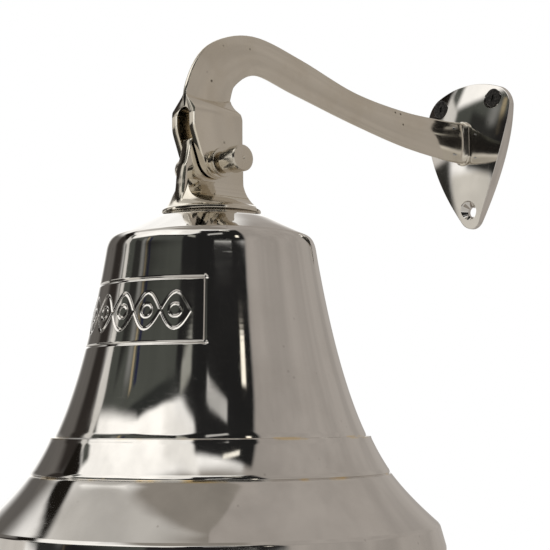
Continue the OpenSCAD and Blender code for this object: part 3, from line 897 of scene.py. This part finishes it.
def build_pivot(nickel, bronze, nylon):
    """The through bolt, its round nut, the washers outside and inside the fork, and the bush."""
    build_bolt(nickel)
    build_nut(nickel)
    piece("outer_washers", washer_pair(8.9, 1.1, KNOB_R + 0.7), "bracket", "pivot_washers",
          nickel, at=ON_PIVOT)
    piece("inner_washers", washer_pair(3.9, 0.9, 6.0), "bracket", "thrust_washers",
          nylon, at=ON_PIVOT)
    half, bush_r = TONGUE_T / 2, BUSH_R - 0.02
    bush = turned(rounded([
        (PIN_HOLE_R, -half), (bush_r, -half, 0.2), (bush_r, half, 0.2), (PIN_HOLE_R, half, 0.2),
    ], closed=True), closed=True, steps=64)
    piece("lined_bush", bush, "bell", "pivot_bush", bronze, at=ON_PIVOT)


def build_under_crown(brass, fibre):
    """Gaskets, washer and nut that clamp the bell to the crown from inside."""
    stack = (
        ("seat_gasket", "crown_gasket", "fibre", fibre, 12, -GASKET_T, 0, 0.1),
        ("soft_gasket", "inner_gasket", "fibre", fibre, 16, -6.5, -5, 0.5),
        ("clamp_washer", "inner_washer", "brass", brass, 14, -8.5, -6.5, 0.5),
    )
    for name, node, slot, material, outer, low, high, soft in stack:
        flat = ring(STUD_HOLE_R, outer, BELL_H + low, BELL_H + high, soft, 96)
        piece(name, flat, "bell", node, material)
    nut_r, low, high = 9.8, BELL_H - 17, BELL_H - 8
    hexagon = slab(circle(0, 0, nut_r, 6), 8, BELL_H - 12.5)
    chamfer = turned([
        (0, low), (8.2, low), (nut_r + 0.1, low + 1.5), (nut_r + 0.1, high - 1.5), (8.2, high), (0, high),
    ], steps=72)
    hexagon = combine(hexagon, chamfer, "INTERSECT")
    hexagon = combine(hexagon, turned([
        (0, BELL_H - 20), (5.9, BELL_H - 20), (5.9, low + 0.1), (STUD_HOLE_R, low + 1.1),
        (STUD_HOLE_R, BELL_H - 5), (0, BELL_H - 5),
    ], steps=64), "DIFFERENCE")
    piece("hex_nut", soften(hexagon, 0.15, 2, 40), "bell", "crown_nut", brass)


# The clapper

EYE_H, RING_R, RING_WIRE, LINK_R = 119.5, 5.5, 1.75, 1.4
RING_GAP = 0.3
LINK_TOP_H = EYE_H - RING_R + RING_WIRE + RING_GAP + LINK_R
LINK_BEND, LINK_STRAIGHT = 4.2, 8.0
ROD_EYE_H = LINK_TOP_H - 2 * LINK_BEND - LINK_STRAIGHT + LINK_R + RING_GAP + RING_WIRE - RING_R
BALL_H, BALL_R, ROD_R = 26.0, 15.0, 3.0
BORE_H = BALL_H - 8
TAIL_H = -2.0
TAIL_EYE_R, TAIL_HOLE_R = 5.0, 2.8


def build_clapper_eye(material):
    bm = bmesh.new()
    wire_ring(bm, RING_R, RING_WIRE, EYE_H)
    base = EYE_H + RING_R + 0.6
    lathe(bm, rounded([
        (0, base), (2.6, base, 0.4), (2.6, 125.9, 0.2), (4, 126.05, 0.3), (4, 127.95, 0.3), (2.5, 127.95),
        (2.5, 136.6, 0.4), (0, 136.6),
    ]), steps=48)
    piece("hanging_eye", solid(bm), "bell", "clapper_eye", material)


def build_link(material):
    """Two half rings of wire, joined by their straight sides."""
    bm = bmesh.new()
    top = LINK_TOP_H - LINK_BEND
    for height, start in ((top, 0), (top - LINK_STRAIGHT, 180)):
        bend = lathe(bm, circle(LINK_BEND, 0, LINK_R, 24), closed=True, steps=36, turn=180, start=start)
        bmesh.ops.transform(bm, verts=bend, matrix=Matrix.Translation((0, 0, height)) @ OUT_OF_WALL)
    loose = [e for e in bm.edges if e.is_boundary]
    for side in (-1, 1):
        bmesh.ops.bridge_loops(bm, edges=[e for e in loose if e.verts[0].co.x * side > 0])
    piece("oval_link", solid(bm), "link", "clapper_link", material)


def build_rod(material):
    """The rod with its ring above, a collar near it and another on the ball."""
    bm = bmesh.new()
    wire_ring(bm, RING_R, RING_WIRE, ROD_EYE_H)
    top, crest = ROD_EYE_H - RING_R, BALL_H + BALL_R
    lathe(bm, rounded([
        (0, BORE_H), (ROD_R, BORE_H), (ROD_R, crest + 0.4, 0.3), (ROD_R + 1.2, crest + 1, 0.5),
        (ROD_R + 1.2, crest + 2.6, 0.6), (ROD_R, crest + 3.4, 0.5), (ROD_R - 0.25, 60, 30),
        (ROD_R, top - 7.5, 2), (ROD_R + 1, top - 5.5, 0.5), (ROD_R + 1, top - 4.6, 0.5),
        (ROD_R - 0.3, top - 3.4, 0.8), (ROD_R - 0.7, top - 0.6), (0, top - 0.2),
    ]), steps=64)
    piece("clapper_shaft", solid(bm), "clapper", "clapper_rod", material)


def build_ball(material):
    """A bored ball with a fine line turned round its middle."""
    top = math.degrees(math.acos((ROD_R + 0.4) / BALL_R))
    low = math.degrees(math.acos(4.3 / BALL_R))
    half = [(r, z + BALL_H) for r, z in arc(0, 0, BALL_R, -low, top, 60)]
    line = min(range(len(half)), key=lambda i: abs(half[i][1] - BALL_H))
    half[line] = (BALL_R - 0.12, BALL_H)
    bore_r, tail_r, floor = ROD_R + 0.05, 2.6, BORE_H - 0.05
    foot = [(tail_r, half[0][1] + 0.5), (4.0, half[0][1] + 0.1)]
    bore = [(bore_r, half[-1][1] - 0.1), (bore_r, floor), (tail_r, floor)]
    ball = turned(foot + half + bore, closed=True, steps=112)
    piece("striker_ball", ball, "clapper", "clapper_ball", material, sharp=60)


def build_tail(material):
    """The tail under the ball, and the eye for a bell rope at its end."""
    under, thick = BALL_H - BALL_R, 1.75
    tail = turned(rounded([
        (0, TAIL_H + 3.2), (2.0, TAIL_H + 3.2, 0.3), (2.1, TAIL_H + 4.4, 0.8), (2.5, TAIL_H + 6.5, 1.0),
        (4.2, under - 1.9, 0.4), (4.2, under - 0.1, 0.4), (2.5, under - 0.1), (2.5, BORE_H - 0.2),
        (0, BORE_H - 0.2),
    ]), steps=64)
    eye = turned(rounded([
        (TAIL_HOLE_R, -thick, 0.7), (TAIL_EYE_R, -thick, 0.8), (TAIL_EYE_R, thick, 0.8),
        (TAIL_HOLE_R, thick, 0.7),
    ], closed=True), closed=True, steps=64)
    both = meshed(tail, placed(eye, ALONG_X, z=TAIL_H - 1))
    piece("rope_tail", both, "clapper", "clapper_tail", material)


# Studio

# Soft boxes and cards, as seen from the bell: degrees round from the camera (positive to its right) and
# above level, half width, half height, softness, how far the card rises per degree to the right, and colour.
CARDS = [
    ("table", 0, -46, 180, 44, 4, 0, (0.60, 0.58, 0.55)),
    ("cream_table", -89.5, -10, 11, 14, 2, 0, (0.74, 0.71, 0.65)),
    ("dark_table", -64, -8, 14, 15, 2, 0, (0.03, 0.03, 0.028)),
    ("left_haze", -133, 18, 25, 13, 7, 0.1, (0.15, 0.14, 0.13)),
    ("left_dark", -120, 20, 8.5, 9, 4, -0.3, (0.035, 0.03, 0.027)),
    ("left_low", -114, -4, 13.5, 17, 2, 0, (0.035, 0.034, 0.03)),
    ("grey_ceiling", -108, 60, 24, 20, 9, 0.3, (0.60, 0.58, 0.55)),
    ("white_box_left", -98, 43, 14, 7.5, 2, 0.55, (1.34, 1.32, 1.28)),
    ("white_box", -60, 45.5, 27, 10.5, 2.5, 0.08, (1.32, 1.30, 1.26)),
    ("white_box_right", -27, 50, 14, 8.5, 4, 0.35, (1.12, 1.10, 1.06)),
    ("dark_band", -62, 25.8, 46, 10, 1.5, 0.025, (0.085, 0.09, 0.08)),
    ("dark_band_edge", -54, 34.5, 43, 1.8, 0.8, 0.025, (0.03, 0.032, 0.03)),
    ("dark_band_foot", -50, 18.5, 40, 2.5, 2.0, 0.05, (0.035, 0.035, 0.033)),
    ("white_corner", -84, 36.3, 18.5, 5.5, 1.8, 0.29, (1.32, 1.30, 1.26)),
    ("dark_plate_side", -78, 11, 14, 10, 2.0, -0.3, (0.03, 0.03, 0.028)),
    ("soft_patch", -79, 23.5, 2.6, 4, 2.4, 0, (0.24, 0.24, 0.23)),
    ("black_wedge", -120, 33.5, 11.5, 6.5, 2, -0.42, (0.012, 0.01, 0.008)),
    ("side_lamp", -105.5, 22.5, 4.2, 5, 1.2, -0.6, (0.80, 0.78, 0.74)),
    ("warm_strip", -75, 22.5, 1.0, 7, 0.5, 0, (0.40, 0.33, 0.21)),
    ("blue_strip", -71, 22.5, 1.3, 7, 0.5, 0, (0.025, 0.028, 0.06)),
    ("dark_low", -22, 12, 55, 11, 3, 0.0, (0.018, 0.017, 0.017)),
    ("dark_join", -20, 27, 12, 9, 2, 0.3, (0.02, 0.02, 0.02)),
    ("dark_side", -20, 33, 12, 7.5, 2.0, 0.55, (0.02, 0.02, 0.02)),
    ("shelf", -23, 33, 4.5, 2.5, 1.2, -0.3, (0.40, 0.40, 0.36)),
    ("lip_light", -112, 11, 12, 3.6, 1.5, 0.21, (0.72, 0.69, 0.65)),
    ("right_wall", 104, 6, 68, 98, 3, 0, (0.43, 0.397, 0.367)),
    ("wall_corner", 35, 60, 5, 7, 3, 0, (0.43, 0.397, 0.367)),
    ("dark_centre", 11.5, 38.5, 26.5, 17, 2.0, 0.09, (0.018, 0.018, 0.018)),
    ("screen", 5, 39, 9, 2.4, 1.0, 0.25, (0.60, 0.59, 0.57)),
    ("strip", 18, 53.2, 7, 1.1, 0.6, -0.2, (1.3, 1.25, 1.12)),
    ("lamp", 29.5, 32, 1.9, 2.9, 0.7, 0, (1.6, 1.5, 1.3)),
    ("low_lamp", 13, 24, 9, 0.8, 0.4, 0, (1.2, 1.2, 1.15)),
]
BASE_LOW = (1.2, 1.19, 1.17, 1)
BASE_HIGH = (0.30, 0.275, 0.245, 1)
BASE_TURNS_FROM, BASE_TURNS_TO = 56, 64
WHITE = (1, 1, 1, 1)


def studio_light():
    """The cards as a world: mirrored by the metal, while the background itself stays white."""
    world = bpy.data.worlds.new("studio")
    world.use_nodes = True
    world.node_tree.nodes.clear()
    bpy.context.scene.world = world
    n = Nodes(world.node_tree)
    way = n.add("ShaderNodeTexCoord").outputs["Generated"]
    turn = math.pi / 2 - CAMERA_AZIMUTH
    way = n.add("ShaderNodeVectorRotate", {"Vector": way, "Angle": turn}, rotation_type="Z_AXIS").outputs[0]
    part = n.add("ShaderNodeSeparateXYZ", {0: way})
    degrees = 180 / math.pi
    round_by = n.math("MULTIPLY", n.math("ARCTAN2", part.outputs["Y"], part.outputs["X"]), degrees)
    above = n.math("MULTIPLY", n.math("ARCSINE", part.outputs["Z"]), degrees)
    light = n.blend(n.ramp(above, BASE_TURNS_FROM, BASE_TURNS_TO), BASE_LOW, BASE_HIGH)
    for _, side, up, half_w, half_h, soft, rise, colour in CARDS:
        off = n.math("SUBTRACT", round_by, side)
        tilt = n.math("SUBTRACT", n.math("SUBTRACT", above, up), n.math("MULTIPLY", off, rise))
        wide = n.ramp(n.math("ABSOLUTE", off), half_w + soft, half_w - soft)
        tall = n.ramp(n.math("ABSOLUTE", tilt), half_h + soft, half_h - soft)
        light = n.blend(n.math("MULTIPLY", wide, tall), light, (*colour, 1))
    uneven = n.ramp(n.noise(way, 3.2, 3.0, 0.55), 0.3, 0.7, 0.9, 1.1)
    light = n.add("ShaderNodeVectorMath", {0: light, 3: uneven}, operation="SCALE").outputs[0]
    seen = n.add("ShaderNodeLightPath").outputs["Is Camera Ray"]
    light = n.blend(seen, light, WHITE)
    back = n.add("ShaderNodeBackground", {"Color": light, "Strength": 1.0})
    n.add("ShaderNodeOutputWorld", {"Surface": back.outputs[0]})


def build():
    add_camera()
    bpy.context.scene.view_settings.view_transform = "Standard"
    polish = polish_group()
    # The bell's inner side is left rougher and painted darker as shade
    bell_nickel = polished_metal(
        "bell_plating", polish, NICKEL, NICKEL_FILM, gloss=0.045, smears=0.05, pits=0.2, depth=0.00005,
        worn=bell_wear, turned_and_shaded="inner_side")
    crown_nickel = polished_metal(
        "crown_plating", polish, WARM_NICKEL, WARM_FILM, gloss=0.06, smears=0.07, pits=0.5, depth=0.00005)
    arm_nickel = polished_metal(
        "arm_plating", polish, WARM_NICKEL, WARM_FILM, gloss=0.08, smears=0.1, pits=1.0, depth=0.00009)
    plate_nickel = polished_metal(
        "plate_plating", polish, NICKEL, NICKEL_FILM, gloss=0.05, smears=0.05, pits=0.3)
    fitting_nickel = polished_metal(
        "fitting_plating", polish, WARM_NICKEL, WARM_FILM, gloss=0.17, smears=0.08, pits=0.2, depth=0.00002)
    clapper_nickel = polished_metal(
        "clapper_plating", polish, NICKEL, NICKEL_FILM, gloss=0.09, smears=0.1, pits=0.6)
    zinc = polished_metal("zinc_steel", polish, ZINC, ZINC_FILM, gloss=0.2, smears=0.12, pits=0.6)
    brass = polished_metal("turned_brass", polish, BRASS, BRASS_FILM, gloss=0.16, smears=0.15, pits=0.4)
    bronze = polished_metal("bearing_bronze", polish, BRONZE, BRONZE_FILM, gloss=0.22, smears=0.15, pits=0.5)
    mottle = mottle_group()
    fibre = dull_material(
        "red_fibre", mottle, dark=(0.12, 0.06, 0.04, 1), light=(0.2, 0.11, 0.08, 1), scale=500, rough=0.7)
    nylon = dull_material(
        "nylon", mottle, dark=(0.72, 0.70, 0.62, 1), light=(0.82, 0.80, 0.73, 1), scale=300, rough=0.45,
        depth=0.00003)
    black_steel = dull_material(
        "blackened_screw", mottle, dark=(0.035, 0.033, 0.032, 1), light=(0.09, 0.085, 0.08, 1), scale=900,
        rough=0.36, metallic=0.9, depth=0.00004)

    build_bell(bell_nickel)
    build_crown(crown_nickel)
    build_bracket(arm_nickel)
    build_plate(plate_nickel)
    build_wall_screws(black_steel)
    build_arm_screws(zinc)
    build_pivot(fitting_nickel, bronze, nylon)
    build_under_crown(brass, fibre)
    for build_part in (build_clapper_eye, build_link, build_rod, build_ball, build_tail):
        build_part(clapper_nickel)
    studio_light()


build()
